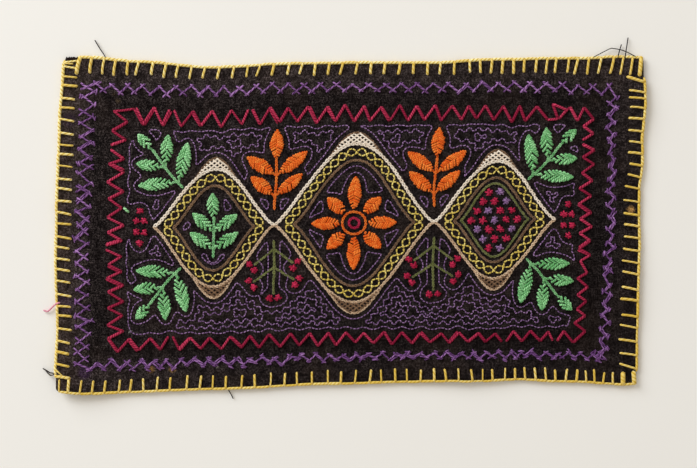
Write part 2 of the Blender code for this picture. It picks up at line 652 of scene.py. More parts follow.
def deselect_all() -> None:
    """Deselects every object, so that an operator acts only on what it adds."""
    bpy.ops.object.select_all(action="DESELECT")


def pick(shape: bpy.types.Object, parts: str, wanted: Callable[[object], bool]) -> None:
    """Selects parts of a shape that is in edit mode.

    Args:
        shape: the shape.
        parts: "edges" or "verts".
        wanted: tells whether a part is selected.
    """
    cage = bmesh.from_edit_mesh(shape.data)
    for part in getattr(cage, parts):
        part.select_set(wanted(part))
    bmesh.update_edit_mesh(shape.data)


def taken_off(shape: bpy.types.Object, shares: Array | None = None) -> Form:
    """Turns a modelled shape into a form and removes its object.

    Args:
        shape: the object that was modelled.
        shares: the share along and the turn around of each point, unless it is a strand.

    Returns:
        The form, with shares that run on across its own seams.
    """
    mesh = shape.data
    spots = np.array([vertex.co[:] for vertex in mesh.vertices])
    faces = [tuple(face.vertices) for face in mesh.polygons]
    bpy.data.objects.remove(shape, do_unlink=True)
    bpy.data.meshes.remove(mesh)
    if shares is None:
        spots[:, 2] += 0.5
        shares = np.stack([spots[:, 2], turn_share(spots[:, 0], spots[:, 1])], axis=1)
    lays = [shares[list(face)] for face in faces]
    lays = [lay + ((np.ptp(lay, axis=0) > 0.5) & (lay < 0.5)) for lay in lays]
    return Form(spots, faces, np.concatenate(lays))


def strand_form(nodes: Strand, sides: int, tip: float) -> Form:
    """Models a straight length of yarn with narrowed ends.

    Args:
        nodes: rings along it, both ends included.
        sides: sides of its section.
        tip: share of the radius left at each end.

    Returns:
        The strand, a unit long and a unit in radius.
    """
    deselect_all()
    bpy.ops.mesh.primitive_cylinder_add(vertices=sides, radius=1.0, depth=1.0)
    shape = bpy.context.object
    bpy.ops.object.mode_set(mode="EDIT")
    bpy.ops.mesh.select_mode(type="EDGE")
    bpy.ops.mesh.select_all(action="DESELECT")
    pick(shape, "edges", lambda edge: abs(edge.verts[0].co.z - edge.verts[1].co.z) > 0.5)
    bpy.ops.mesh.subdivide(number_cuts=nodes - 2)
    pick(shape, "edges", lambda edge: all(abs(vertex.co.z) > 0.499 for vertex in edge.verts))
    bpy.ops.transform.resize(value=(tip, tip, 1.0))
    bpy.ops.object.mode_set(mode="OBJECT")
    return taken_off(shape)


def link_form(ring: float = 0.56, yarn: float = 0.44) -> Form:
    """Models one chain-stitch loop: a ring drawn to a point where it leaves the cloth.

    Args:
        ring: radius of the ring.
        yarn: radius of its yarn.

    Returns:
        The loop, lying flat, its rounded head towards +X.
    """
    deselect_all()
    bpy.ops.mesh.primitive_torus_add(
        major_segments=10, minor_segments=5, major_radius=ring, minor_radius=yarn)
    shape = bpy.context.object
    x, y, z = np.array([vertex.co[:] for vertex in shape.data.vertices]).T
    shares = np.stack([turn_share(x, y), turn_share(np.hypot(x, y) - ring, z)], axis=1)
    bpy.ops.object.mode_set(mode="EDIT")
    bpy.ops.mesh.select_mode(type="VERT")
    for reach, pinch, rise in ((-0.25, 0.78, 0.05), (-0.60, 0.55, -0.30)):
        pick(shape, "verts", lambda vertex: vertex.co.x < reach)
        bpy.ops.transform.resize(value=(1.0, pinch, 1.0))
        bpy.ops.transform.translate(value=(0.0, 0.0, rise))
    bpy.ops.object.mode_set(mode="OBJECT")
    return taken_off(shape, shares)


@dataclass(frozen=True)
class Needlebox:
    """The stitch shapes, each modelled once."""

    strands: dict[int, Form]
    link: Form

    @classmethod
    def open(cls) -> "Needlebox":
        """Models every stitch shape."""
        rows = ((Strand.LEG, 6, 0.5), (Strand.BAR, 6, 0.5), (Strand.DASH, 5, 0.5), (Strand.TAIL, 6, 0.8))
        return cls({row[0]: strand_form(*row) for row in rows}, link_form())


@dataclass
class Ground:
    """Remembers which parts of the cloth already carry stitches."""

    marks: list[Array] = field(default_factory=list)

    def cover(self, places: Array) -> None:
        """Notes covered places."""
        self.marks.append(places[..., :2].reshape(-1, 2))

    def clearance(self, places: Array) -> Array:
        """Measures how far places lie from the nearest covered spot.

        Args:
            places: (x, y) rows.

        Returns:
            The distances.
        """
        marks = np.concatenate(self.marks)
        tree = KDTree(len(marks))
        for index, (x, y) in enumerate(marks):
            tree.insert((x, y, 0.0), index)
        tree.balance()
        return np.array([tree.find((x, y, 0.0))[2] for x, y in places])


# A chain-stitch loop: its share of the pitch, the height of its middle, the height of its section
# beside its breadth, the yarn in it beside its reach, and its reverse stitch beside its breadth.
LINK_REACH, LINK_RISE, LINK_SECTION, LINK_YARN, LINK_REVERSE = 0.74, 0.30, 0.36, 3.4, 0.2


@dataclass
class Skein:
    """One yarn: takes its stitches one batch at a time and joins them into one piece."""

    finish: YarnFinish
    panel: Panel
    box: Needlebox
    ground: Ground
    chance: np.random.Generator  # the hand's own unevenness
    spots: list[Array] = field(default_factory=list)
    faces: list[tuple[int, ...]] = field(default_factory=list)
    lays: list[Array] = field(default_factory=list)
    tones_and_painted_light: list[Array] = field(default_factory=list)

    def add(self, form: Form, places: Array, runs: Array, paler: float = 0.0) -> None:
        """Keeps one batch of copies.

        Args:
            form: the shape that was copied.
            places: (copies, points, 3) on the cloth.
            runs: length of yarn in each copy.
            paler: how much paler than usual this batch is, as painted light.
        """
        copies, points = places.shape[:2]
        first = sum(len(batch) for batch in self.spots)
        self.spots.append(self.panel.room(places).reshape(-1, 3))
        x, y = (places[:, 0, :2] / self.panel.size).T
        # A random lightness for each stitch, plus painted light: lighter towards the top left, where the
        # lamp stands, darker towards the bottom right, and lighter still by the paler share.
        tone_and_painted_light = self.chance.uniform(0.0, 0.8, copies) + (y - x) * 0.25 + 0.1 + paler
        self.tones_and_painted_light.append(np.repeat(tone_and_painted_light, points))
        lay = np.repeat(form.lay[None], copies, axis=0)
        lay[..., 0] = lay[..., 0] * runs[:, None] + self.chance.uniform(0.0, 5.0, (copies, 1))
        self.lays.append(lay.reshape(-1, 2))
        for start in range(first, first + copies * points, points):
            self.faces.extend(tuple(corner + start for corner in face) for face in form.faces)

    def lay(self, paths: Array, radius: float | Array, tall: float = 0.8, planar: bool = True,
            covers: bool = True, paler: float = 0.0) -> None:
        """Lays a strand along each path.

        Args:
            paths: (stitches, nodes, 3) on the cloth, with as many nodes as a strand has.
            radius: yarn radius, one for all or one for each.
            tall: height of the yarn's section over its width.
            planar: whether each path stays in one upright plane.
            covers: whether the stitches count as covered ground.
            paler: how much paler than usual these stitches are, as painted light.
        """
        if not len(paths):
            return
        form = self.box.strands[paths.shape[1]]
        heading = unit(np.gradient(paths, axis=1))
        flat = np.broadcast_to(paths[:, -1:] - paths[:, :1], paths.shape) if planar else heading
        across = raised(left_of(unit(flat[..., :2])), 0.0)
        above = np.cross(heading, across)
        ring = np.rint(form.spots[:, 2] * (paths.shape[1] - 1)).astype(int)
        wide, high = form.spots[:, :1], form.spots[:, 1:2] * tall
        width = np.broadcast_to(radius, (len(paths),))[:, None, None]
        places = paths[:, ring] + (across[:, ring] * wide + above[:, ring] * high) * width
        self.add(form, places, np.linalg.norm(np.diff(paths, axis=1), axis=2).sum(axis=1), paler)
        if covers:
            self.ground.cover(paths)

    def chain(self, route: Array, pitch: float, breadth: float) -> None:
        """Works chain stitch along a line, with its straight reverse.

        Args:
            route: the line, one (x, y) a row.
            pitch: distance from one loop to the next.
            breadth: width of the chain.
        """
        marks = paced(route, pitch)
        start, end = marks[:-1], marks[1:]
        heading, one = unit(end - start), (len(start), 1)
        centre = (start + end) / 2 + self.chance.normal(0.0, 0.07, (len(start), 2))
        pitches = np.linalg.norm(end - start, axis=1, keepdims=True)
        reach = pitches * self.chance.normal(LINK_REACH, 0.03, one)
        wide = breadth / 2 * self.chance.normal(1.0, 0.06, one)
        x, y, z = self.box.link.spots.T
        flat = (centre[:, None] + heading[:, None] * (x * reach)[..., None]
                + left_of(heading)[:, None] * (y * wide)[..., None])
        tilt = self.chance.normal(0.0, 0.05, one)
        height = z * breadth * LINK_SECTION + LINK_RISE - 0.10 * x + tilt * y
        self.add(self.box.link, raised(flat, height), reach[:, 0] * LINK_YARN)
        self.ground.cover(route)
        self.reverse(start, end, breadth * LINK_REVERSE)

    def running(self, route: Array, stitch: float, gap: float, radius: float) -> None:
        """Works running stitch along a line, with its reverse.

        Args:
            route: the line, one (x, y) a row.
            stitch: length that shows of each stitch.
            gap: length between stitches.
            radius: yarn radius.
        """
        marks = paced(route, stitch + gap)
        start, end = marks[:-1], marks[1:]
        sway = self.chance.normal(0.0, 0.08, (2, len(start), 2))
        share = stitch / (stitch + gap)
        start, end = start + sway[0], start + (end - start) * share + sway[1]
        self.lay(straight(start, end, Strand.DASH, radius * 0.75, radius * 0.8), radius)
        self.reverse(end[:-1], start[1:], radius * 0.8)

    def reverse(self, start: Array, end: Array, radius: float) -> None:
        """Lays the flat stitches that show on the back."""
        paths = self.panel.behind(straight(start, end, Strand.DASH, 0.08, 0.25))
        self.lay(paths, radius, tall=0.55, covers=False)

    def wind_off(self) -> bpy.types.Object:
        """Joins every stitch of this yarn into one piece riding on the cloth.

        Returns:
            The finished piece.
        """
        name = self.finish.name
        mesh = bpy.data.meshes.new(name)
        mesh.from_pydata(np.concatenate(self.spots), [], self.faces)
        lays = mesh.uv_layers.new(name="lay")
        lays.data.foreach_set("uv", np.concatenate(self.lays).astype(np.float32).ravel())
        tone_and_painted_light = mesh.attributes.new("tone_and_painted_light", "FLOAT", "POINT")
        tone_and_painted_light.data.foreach_set("value", np.concatenate(self.tones_and_painted_light).astype(np.float32))
        mesh.shade_smooth()
        mesh.materials.append(self.finish.material())
        piece = bpy.data.objects.new(name, mesh)
        bpy.context.scene.collection.objects.link(piece)
        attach(piece, BODY)
        log.info("%s: %d triangles", name, sum(len(face) - 2 for face in self.faces))
        return piece


# ---------------- the panel


@dataclass
class ClothPanel:
    """The black cotton panel with its folded hem."""

    panel: Panel
    cell: float = 1.9  # spacing of the mesh inside the folded edge
    roll: float = 0.6  # radius of the folded edge
    rim_lines: tuple[float, ...] = (0.0, 0.06, 0.2, 0.42, 0.8, 1.6)  # across the folded edge
    thinnest: float = 0.12  # share of the thickness left at the very edge

    def lines(self, span: float) -> Array:
        """Spaces the mesh's lines along one side: close on the folded edge, then even.

        Args:
            span: length of the side.

        Returns:
            Where each line crosses it.
        """
        rim = np.array(self.rim_lines) + self.panel.rim
        inner = np.linspace(rim[-1], span - rim[-1], int(round((span - 2 * rim[-1]) / self.cell)) + 1)
        return np.concatenate([rim, inner[1:-1], span - rim[::-1]])

    def build(self) -> bpy.types.Object:
        """Models the panel as one sheet and gives it its thickness.

        Returns:
            The finished cloth.
        """
        columns, rows = self.lines(self.panel.length), self.lines(self.panel.width)
        deselect_all()
        bpy.ops.mesh.primitive_grid_add(
            x_subdivisions=len(columns) - 1, y_subdivisions=len(rows) - 1, size=1.0)
        cloth = bpy.context.object
        cloth.name = cloth.data.name = "cloth_panel"
        flat = np.stack(np.meshgrid(columns, rows), axis=-1).reshape(-1, 2)
        thick = self.panel.thickness(flat)
        bare = np.clip((self.panel.from_edge(flat) - self.panel.rim) / self.roll, 0.0, 1.0)
        share = np.maximum(np.sqrt(1.0 - (1.0 - bare) ** 2), self.thinnest)
        places = self.panel.room(raised(self.panel.rounded(flat), -thick / 2))
        cloth.data.vertices.foreach_set("co", places.astype(np.float32).ravel())

        group = cloth.vertex_groups.new(name="thickness")
        for index, weight in enumerate(thick * share / thick.max()):
            group.add([index], float(weight), "REPLACE")
        while cloth.data.uv_layers:
            cloth.data.uv_layers.remove(cloth.data.uv_layers[0])
        layer = cloth.data.uv_layers.new(name="place")
        corners = np.empty(len(cloth.data.loops), np.int32)
        cloth.data.loops.foreach_get("vertex_index", corners)
        layer.data.foreach_set("uv", flat[corners].astype(np.float32).ravel())

        solid = cloth.modifiers.new("Thickness", "SOLIDIFY")
        solid.thickness = float(thick.max()) * MM
        solid.offset = 0.0
        solid.vertex_group = group.name
        bpy.ops.object.modifier_apply(modifier=solid.name)
        cloth.data.shade_smooth()
        cloth.data.materials.append(CottonFinish(self.panel).material())
        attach(cloth, BODY)
        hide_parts(CLOTH_NODE)
        log.info("cloth_panel: %d faces", len(cloth.data.polygons))
        return cloth


# ---------------- the borders


@dataclass(frozen=True)
class EdgingSide:
    """How the blanket stitch runs on one side. Marks are told from the left or from the bottom."""

    side: Side
    legs: int  # between its corners
    ends: tuple[float, float]  # where the first and the last leg stand
    pace: Rows  # (share along, spacing beside the usual)
    reach: Rows  # (share along, leg length)
    lean: Rows  # (share along, how far a leg's inner end is shifted along)
    hook: float  # how far the outer end is dragged along the edge
    yarn: float  # radius of a leg
    purl: float  # radius of the yarn on the edge
    purl_ends: tuple[float, float]


EDGING_SIDES = (
    EdgingSide(Side.TOP, 43, (16.9, 313.8), ((0, 0.9), (0.15, 1.08), (0.6, 1.12), (0.75, 0.88), (1, 0.88)),
               ((0, 10), (0.12, 8.9), (0.25, 8), (0.6, 7.8), (0.8, 9.2), (1, 10.9)),
               ((0, 0.1), (0.2, -0.9), (0.45, -0.7), (0.7, 0.1), (1, -1.9)), 0.2, 0.80, 0.90, (8.9, 323.4)),
    EdgingSide(Side.RIGHT, 23, (17.4, 167.3), ((0, 1.13), (0.5, 1.05), (0.8, 0.97), (1, 0.75)),
               ((0, 11), (0.33, 10.2), (0.55, 9.7), (0.7, 8.6), (0.86, 9.2), (1, 10.2)),
               ((0, 1.8), (0.5, 1), (1, 0.4)), -0.9, 0.74, 0.83, (8.5, 175.0)),
    EdgingSide(Side.BOTTOM, 44, (13.9, 311.7), ((0, 1.05), (0.3, 1.18), (0.55, 1.1), (0.8, 0.85), (1, 0.75)),
               ((0, 8.2), (0.3, 8.8), (1, 8)),
               ((0, 0.9), (0.3, 0.3), (0.5, 0), (0.8, -0.4), (1, 0.1)), 0.1, 0.68, 0.84, (3.4, 323.4)),
    EdgingSide(Side.LEFT, 25, (16.9, 171.4), ((0, 1), (1, 1)), ((0, 8.7), (0.5, 9.4), (1, 9.2)),
               ((0, -0.6), (0.5, -0.5), (1, -0.9)), 0.1, 0.74, 0.86, (10.5, 184.5)),
)

# How a leg lies: (share of the way in from the edge, height).
LEG_SECTION = ((0, -0.85), (0.03, 0.08), (0.14, 0.46), (0.32, 0.44), (0.56, 0.42), (0.8, 0.44),
               (0.95, 0.26), (1, -0.35))

# Crowded corner stitches by (at right, at top): (from x, from y, to x, to y, radius) inwards.
CORNER_LEGS = {
    (False, True): ((9.7, 0.5, 8.7, 10.6, 1.20), (0.2, 4.2, 9.6, 3.0, 0.60), (0.4, 6.2, 9.4, 7.4, 0.62),
                    (0.6, 4.6, 6.4, 4.9, 0.44), (0.4, 11.8, 9.2, 12.4, 0.60)),
    (True, True): ((2.4, 0.4, 3.8, 12.0, 1.20), (7.0, 0.3, 9.0, 11.6, 0.72),
                   (0.5, 15.4, 10.8, 12.4, 0.96)),
    (True, False): ((2.2, 0.6, 2.9, 8.2, 1.34), (8.6, 0.5, 8.8, 7.8, 1.38),
                    (0.6, 9.4, 10.8, 12.8, 0.68)),
    (False, False): ((0.5, 9.6, 9.4, 9.2, 0.92), (8.0, 0.5, 8.6, 8.8, 0.84), (3.1, 0.7, 3.3, 8.0, 0.52),
                     (0.6, 14.2, 4.6, 10.4, 0.30), (0.6, 13.2, 5.4, 9.9, 0.30)),
}


@dataclass
class BlanketEdging:
    """Yellow blanket stitch over the folded edge: legs, their backs and the edge yarn."""

    panel: Panel
    skein: Skein
    uneven: float = 0.45  # how far legs stand and lean off their pace
    over_edge: float = 0.45  # how far a leg reaches past the folded edge
    drag_reach: float = 1.6  # how far in the dragging of the outer ends is felt
    back_height: float = 0.55  # of the halves on the back, beside the front
    back_yarn: float = 0.75  # their radius beside the front
    overrun: float = 0.06  # how far a length of edge yarn passes its stitches, as a share
    paler: float = 0.45  # painted light on the edge yarn of the top and left sides, which face the lamp

    def leg_paths(self, work: EdgingSide, marks: Array, back: bool) -> Array:
        """Draws the legs of one side, from the edge to their holes.

        Args:
            work: the side.
            marks: where the legs stand.
            back: whether these are the halves on the back.

        Returns:
            (legs, nodes, 3) paths.
        """
        chance, count = self.skein.chance, len(marks)
        share = (marks - work.ends[0]) / (work.ends[1] - work.ends[0])
        reach = (eased(work.reach, share) + chance.normal(0.0, 0.35, count))[:, None]
        lean = (eased(work.lean, share) + chance.normal(0.0, self.uneven, count))[:, None]
        run, height = np.array(LEG_SECTION).T
        outer = self.panel.rim - self.over_edge
        inward = outer + run * (reach - outer)
        bow = np.sin(np.linspace(0.0, math.pi, Strand.LEG)) * chance.normal(0.0, 0.16, (count, 1))
        drag = work.hook * np.exp(-np.maximum(inward, 0.0) / self.drag_reach)
        flat = self.panel.beside(work.side, marks[:, None] + lean * inward / reach + drag + bow, inward)
        paths = raised(flat, height * (self.back_height if back else 1.0))
        return self.panel.behind(paths) if back else paths

    def purl(self, work: EdgingSide, marks: Array) -> None:
        """Lays the yarn along the edge, one length from each leg to the next.

        Args:
            work: the side.
            marks: where the legs stand.
        """
        chance = self.skein.chance
        stops = np.sort([work.purl_ends[0], *(marks + work.hook), work.purl_ends[1]])
        share = np.linspace(0.0, 1.0, Strand.LEG)
        off = np.abs(share * 2 - 1)  # 1 at both ends of a length, 0 in its middle
        run = share * (1 + 2 * self.overrun) - self.overrun
        along = stops[:-1, None] + np.diff(stops)[:, None] * run
        sway = chance.normal(0.0, 0.10, (len(along), 1)) * np.sin(share * math.pi)
        inward = self.panel.rim - 0.15 + sway + 0.14 * off ** 4
        height = -0.10 - 0.12 * off ** 6 + chance.normal(0.0, 0.04, (len(along), 1))
        flat = self.panel.beside(work.side, along, inward)
        if work.side in (Side.TOP, Side.RIGHT):
            flat = self.panel.rounded(flat)
        radius = work.purl * chance.normal(1.0, 0.07, len(along))
        # Painted light: the edge yarn on the top and left sides, which face the lamp, is made paler.
        paler = self.paler if work.side in (Side.TOP, Side.LEFT) else 0.0
        self.skein.lay(raised(flat, height), radius, tall=0.95, planar=False, paler=paler)

    def corners(self) -> None:
        """Lays the crowded stitches at the four corners."""
        for flip, rows in CORNER_LEGS.items():
            start, end, radius = np.split(np.array(rows), (2, 4), axis=1)
            start, end = (np.where(flip, self.panel.size - at, at) for at in (start, end))
            paths = straight(start, end, Strand.LEG, 0.42)
            paths[:, :2, 2] = -0.8, 0.1
            self.skein.lay(paths, radius[:, 0])
            self.skein.lay(self.panel.behind(straight(start, end, Strand.BAR, 0.2)), radius[:, 0] * 0.7)

    def build(self) -> None:
        """Works all four sides and their corners."""
        for work in EDGING_SIDES:
            gaps = eased(work.pace, np.linspace(0.0, 1.0, work.legs - 1))
            marks = np.concatenate([[0.0], np.cumsum(gaps)]) / gaps.sum()
            marks = work.ends[0] + (work.ends[1] - work.ends[0]) * marks
            marks += self.skein.chance.normal(0.0, self.uneven, work.legs)
            radius = work.yarn * self.skein.chance.normal(1.0, 0.10, work.legs)
            self.skein.lay(self.leg_paths(work, marks, back=False), radius)
            backs = self.leg_paths(work, marks, back=True)
            self.skein.lay(backs, radius * self.back_yarn, tall=0.6)
            self.purl(work, marks)
        self.corners()


@dataclass(frozen=True)
class BorderSide:
    """How a zigzag border runs on one side. Marks are told from the left or from the bottom."""

    side: Side
    start: float  # where its first tip stands
    end: float
    pace: float  # between two outer tips
    outer: Rows  # (share along, distance of the outer tips from the edge)
    inner: Rows  # the same for the inner tips
    quicken: float = 0.0  # how much the spacing shrinks from start to end, as a share
    tangle: float = 0.0  # share of tips tied down by short stitches instead of crossing
    turn: Places = ()  # further holes worked on the way to the next side


HERRINGBONE_SIDES = (
    BorderSide(Side.TOP, 20.0, 306.0, 8.94, ((0, 14.2), (0.25, 11.8), (0.55, 12.6), (0.8, 13.6), (1, 16.2)),
               ((0, 20.6), (0.25, 18.4), (0.55, 18.4), (0.8, 20), (1, 22.4))),
    BorderSide(Side.RIGHT, 22.0, 164.0, 7.1, ((0, 17.6), (0.3, 16.5), (0.55, 15), (0.75, 16.1), (1, 16.8)),
               ((0, 21.4), (0.3, 20.2), (0.55, 18.4), (0.75, 19.4), (1, 21.2)), tangle=1.0,
               turn=((303.6, 18.6), (307.4, 14.8), (301.8, 15.6), (306.6, 19.4), (303.0, 14.2))),
    BorderSide(Side.BOTTOM, 20.0, 304.0, 7.28, ((0, 13.8), (0.35, 14.6), (0.7, 14), (1, 13.8)),
               ((0, 18.5), (0.35, 18.5), (0.7, 17.7), (1, 17.5)), 0.18, 0.9),
    BorderSide(Side.LEFT, 17.0, 171.0, 7.0, ((0, 11.2), (0.5, 12), (1, 11.4)),
               ((0, 19.2), (0.5, 19.8), (1, 20.2)), tangle=0.35),
)

ZIGZAG_SIDES = (
    BorderSide(Side.TOP, 41.5, 265.0, 10.15, ((0, 27), (0.3, 25.9), (0.7, 26.2), (1, 28.2)),
               ((0, 37.2), (0.3, 35.2), (0.7, 35.4), (1, 37.2)), 0.18,
               turn=((271.9, 151.4), (277.4, 152.0), (273.9, 160.6), (281.8, 157.2),
                     (278.0, 152.0), (283.6, 158.8), (288.4, 150.8), (291.4, 158.6))),
    BorderSide(Side.RIGHT, 29.8, 151.5, 8.7, ((0, 30), (0.5, 27.8), (0.8, 27.4), (1, 27.8)),
               ((0, 36), (0.5, 34), (0.8, 34.8), (1, 34.2))),
    BorderSide(Side.BOTTOM, 35.2, 289.5, 10.6, ((0, 23.8), (0.4, 23.6), (0.8, 23.2), (1, 23.8)),
               ((0, 31.4), (0.4, 30.8), (0.8, 28.9), (1, 29.6)), 0.16),
    BorderSide(Side.LEFT, 31.5, 158.5, 9.07, ((0, 29.2), (0.5, 29.4), (0.8, 28.8), (1, 30.8)),
               ((0, 38.6), (0.5, 38), (1, 38.4)), -0.26),
)


@dataclass
class ZigzagBorder:
    """A border of slanting stitches between an outer and an inner row of holes."""

    panel: Panel
    skein: Skein
    sides: tuple[BorderSide, ...]
    radius: float  # of its yarn
    overlap: float  # how far each stitch passes its neighbour at the tips
    stray: float  # how far a hole strays
    doubled: float = 0.12  # share of stitches worked twice
    parted: float = 0.0  # share of tips where two stitches stop short of each other
    short_by: float = 1.2  # how far they stop short
    slip: float = 0.30  # how fast the pace drifts, tip by tip
    thin: float = 0.75  # radius of doubled and tying stitches beside the others

    def tips(self, work: BorderSide) -> Array:
        """Finds the holes of one side, outer and inner in turn.

        Args:
            work: the side.

        Returns:
            (x, y, direction of work in x and in y, tangle) of each hole.
        """
        chance, length = self.skein.chance, work.end - work.start
        count = int(round(2 * length / work.pace)) + 1
        share = np.linspace(0.0, 1.0, count)
        slip = np.cumsum(chance.normal(0.0, self.slip, count))
        slip -= np.linspace(slip[0], slip[-1], count)
        along = work.start + length * (share + work.quicken / 2 * share * (1.0 - share)) + slip * 0.8
        stray = self.stray * (1.0 + 0.3 * work.tangle)
        along += chance.normal(0.0, stray, count)
        inward = np.where(np.arange(count) % 2, eased(work.inner, share), eased(work.outer, share))
        inward += chance.normal(0.0, stray, count)
        holes = self.panel.beside(work.side, along, inward)
        holes = np.hstack([holes, self.panel.beside(work.side, along + 1.0, inward) - holes])
        if work.side in (Side.RIGHT, Side.BOTTOM):
            holes = holes[::-1] * (1, 1, -1, -1)
        turn = np.pad(np.array(work.turn).reshape(-1, 2), ((0, 0), (0, 2)))
        return raised(np.vstack([holes, turn]), work.tangle)

    def build(self) -> None:
        """Works the border once round, corners included, with its reverse."""
        holes, forward, tangle = np.split(np.vstack([self.tips(work) for work in self.sides]), (2, 4), 1)
        chance, one = self.skein.chance, (len(holes), 1)
        tied = chance.uniform(0.0, 1.0, one) < tangle
        past = self.overlap * chance.uniform(0.4, 1.3, one) * np.where(tied, 0.5, 1.0)
        past[chance.uniform(0.0, 1.0, one) < self.parted] = -self.short_by
        start, end = holes - forward * past, np.roll(holes + forward * past, -1, axis=0)
        paths = straight(start, end, Strand.LEG, 0.3)
        paths[1::2, 1:-1, 2] += 0.10
        paths[:, 1:-1, 2] += chance.uniform(0, 0.08, one)
        radius = self.radius * chance.normal(1.0, 0.08, one) * (1.0 - 0.16 * tangle)
        self.skein.lay(paths, radius[:, 0])

        twice = chance.uniform(0.0, 1.0, one) < self.doubled + 0.7 * tangle
        beside = left_of(unit(end - start)) * chance.choice([-1.0, 1.0], one) * self.radius
        wander = chance.normal(0.0, 0.30, (2, *holes.shape)) * (1.0 + tangle)
        again = straight(start + beside + wander[0], end + beside + wander[1], Strand.BAR, 0.36)
        self.skein.lay(again[twice[:, 0]], self.radius * self.thin)

        for lift in (0.5, 0.7):
            lean = forward + left_of(forward) * chance.normal(0.0, 0.5, one)
            spot = holes + chance.normal(0.0, 0.4, holes.shape)
            half = unit(lean) * chance.uniform(1.0, 1.9, one)
            bars = straight(spot - half, spot + half, Strand.BAR, lift)
            self.skein.lay(bars[tied[:, 0]], self.radius * self.thin)

        reverse = straight(start, holes + forward * (past + 0.5), Strand.DASH, 0.1)
        self.skein.lay(self.panel.behind(reverse), self.radius * 0.8, tall=0.6)


# ---------------- the centre


def hatch(outline: Array, degrees: float, pitch: float) -> Array:
    """Fills a closed outline with parallel stitches.

    Args:
        outline: the outline, one (x, y) a row.
        degrees: direction of the stitches.
        pitch: distance between them.

    Returns:
        Where the stitches start and where they end, (2, stitches, 2).
    """
    axis = ray(degrees)
    side = left_of(axis)
    along, across = outline @ axis, outline @ side
    step_along, step_across = np.roll(along, -1) - along, np.roll(across, -1) - across
    ends = []
    for level in np.arange(across.min() + pitch / 2, across.max(), pitch):
        crossed = (across > level) != (across + step_across > level)
        share = (level - across[crossed]) / step_across[crossed]
        spots = np.sort(along[crossed] + share * step_along[crossed])
        spots = spots[:len(spots) // 2 * 2, None] * axis + level * side
        ends += zip(spots[::2], spots[1::2])
    return np.array(ends).swapaxes(0, 1)


@dataclass(frozen=True)
class Mirror:
    """Turns a design drawn for one corner into its reflection about the field's middle."""

    flip: tuple[float, float]  # -1.0 to reflect left to right or top to bottom, else 1.0

    def place(self, spots: Places) -> Array:
        """Where places told from the middle of the field fall on the cloth."""
        return FIELD_MIDDLE + np.array(self.flip) * np.array(spots)

    def bearing(self, degrees: float) -> float:
        """A direction after the reflection."""
        x, y = self.flip * ray(degrees)
        return math.degrees(math.atan2(y, x))


FIELD_MIDDLE = np.array([166.5, 94.0])
MIRRORS = tuple(Mirror((x, y)) for x in (1.0, -1.0) for y in (1.0, -1.0))
CLOSE_WEAVE = (1.3, 60.0)  # rows laid close and steep


@dataclass(frozen=True)
class Leaf:
    """One leaf or petal, filled with rope-like rows that run back from its midrib."""

    base: Array
    bearing: float  # direction it points, in degrees
    length: float
    breadth: float
    row: float  # from one row to the next along the midrib
    slant: float  # between the rows and the midrib, in degrees
    overlap: float = 0.2  # how far the two halves cross on the midrib

    def work(self, skein: Skein) -> None:
        """Fills the leaf, one half after the other, and closes its tip.

        Args:
            skein: the yarn.
        """
        chance, slope, forward = skein.chance, math.radians(self.slant), ray(self.bearing)
        radius = 0.60 * self.row * math.sin(slope)
        for side, first in ((-1.0, 0.2 + self.row / 2), (1.0, 0.2)):
            left = left_of(forward) * side
            run = np.arange(first, self.length * 0.97, self.row)[:, None]
            run = run + chance.normal(0.0, 0.12, run.shape)
            share = np.clip((run + 0.5) / self.length, 0.0, 0.985)
            half = self.breadth / 2 * np.sin(math.pi * share ** 0.94) ** 0.72
            half = half * chance.normal(1.0, 0.06, run.shape)
            deep = np.minimum(run + half / math.tan(slope), self.length + 0.2)
            inner = self.base + forward * deep - left * self.overlap
            outer = self.base + forward * run + left * half
            paths = straight(outer, inner, Strand.LEG, 0.40 + radius * 0.25)
            paths[:, 1:-1, 2] += chance.uniform(0.0, 0.2, run.shape)
            skein.lay(paths, radius * chance.normal(1.0, 0.05, len(run)), tall=0.85)
            skein.reverse(outer, inner, radius * 0.7)


@dataclass(frozen=True)
class Spray:
    """A stem with its leaves, told from the middle of the field."""

    stem: Places
    leaves: Places  # (x, y, bearing, length, breadth) of each, stalk included
    weave: tuple[float, float] = (2.1, 36.0)  # row and slant of their filling
    stalk: float = 3.0

    def work(self, mirror: Mirror, skein: Skein) -> None:
        """Works the stem and its leaves.

        Args:
            mirror: where the design falls.
            skein: the yarn.
        """
        skein.chain(bent(mirror.place(self.stem)), 1.9, 1.9)
        for x, y, bearing, length, breadth in self.leaves:
            start = mirror.place((x, y))
            bearing = mirror.bearing(bearing) + skein.chance.normal(0.0, 2.0)
            base = start + ray(bearing) * self.stalk
            skein.chain(np.array([start, base]), 1.7, 1.6)
            size = (length - self.stalk) * skein.chance.normal(1.0, 0.03)
            Leaf(base, bearing, size, breadth, *self.weave).work(skein)


PALMETTE = Spray(((96, 23), (104, 31.5), (113, 43)), (
    (99, 26, -6, 21, 6.8), (98.5, 25.5, 103, 23, 7.2), (106, 34, 6, 16, 6.2), (106, 34, 92, 18.5, 6.6),
    (112.5, 42.5, 48, 12.5, 5.6)))
SPRIG = Spray(((-78, -17), (-78, 6)), (
    (-78, -12, 34, 16, 6.6), (-78, -12, 146, 16, 6.6), (-78, -2, 42, 15.5, 6.6),
    (-78, -2, 138, 15.5, 6.6), (-78, 5, 90, 15, 6.6)), stalk=1.5)
PLUME = Spray(((-44.5, 9), (-44, 24), (-44.5, 37)), (
    (-44.3, 16.5, 41, 19, 6.8), (-44.3, 16.5, 139, 18.5, 6.8), (-44.2, 28.5, 36, 20.5, 7),
    (-44.2, 28.5, 144, 20.5, 7), (-44.5, 36, 90, 18.5, 7)), CLOSE_WEAVE)
BERRY_STEM = ((-44.5, 9), (-44, 24), (-44.5, 34))
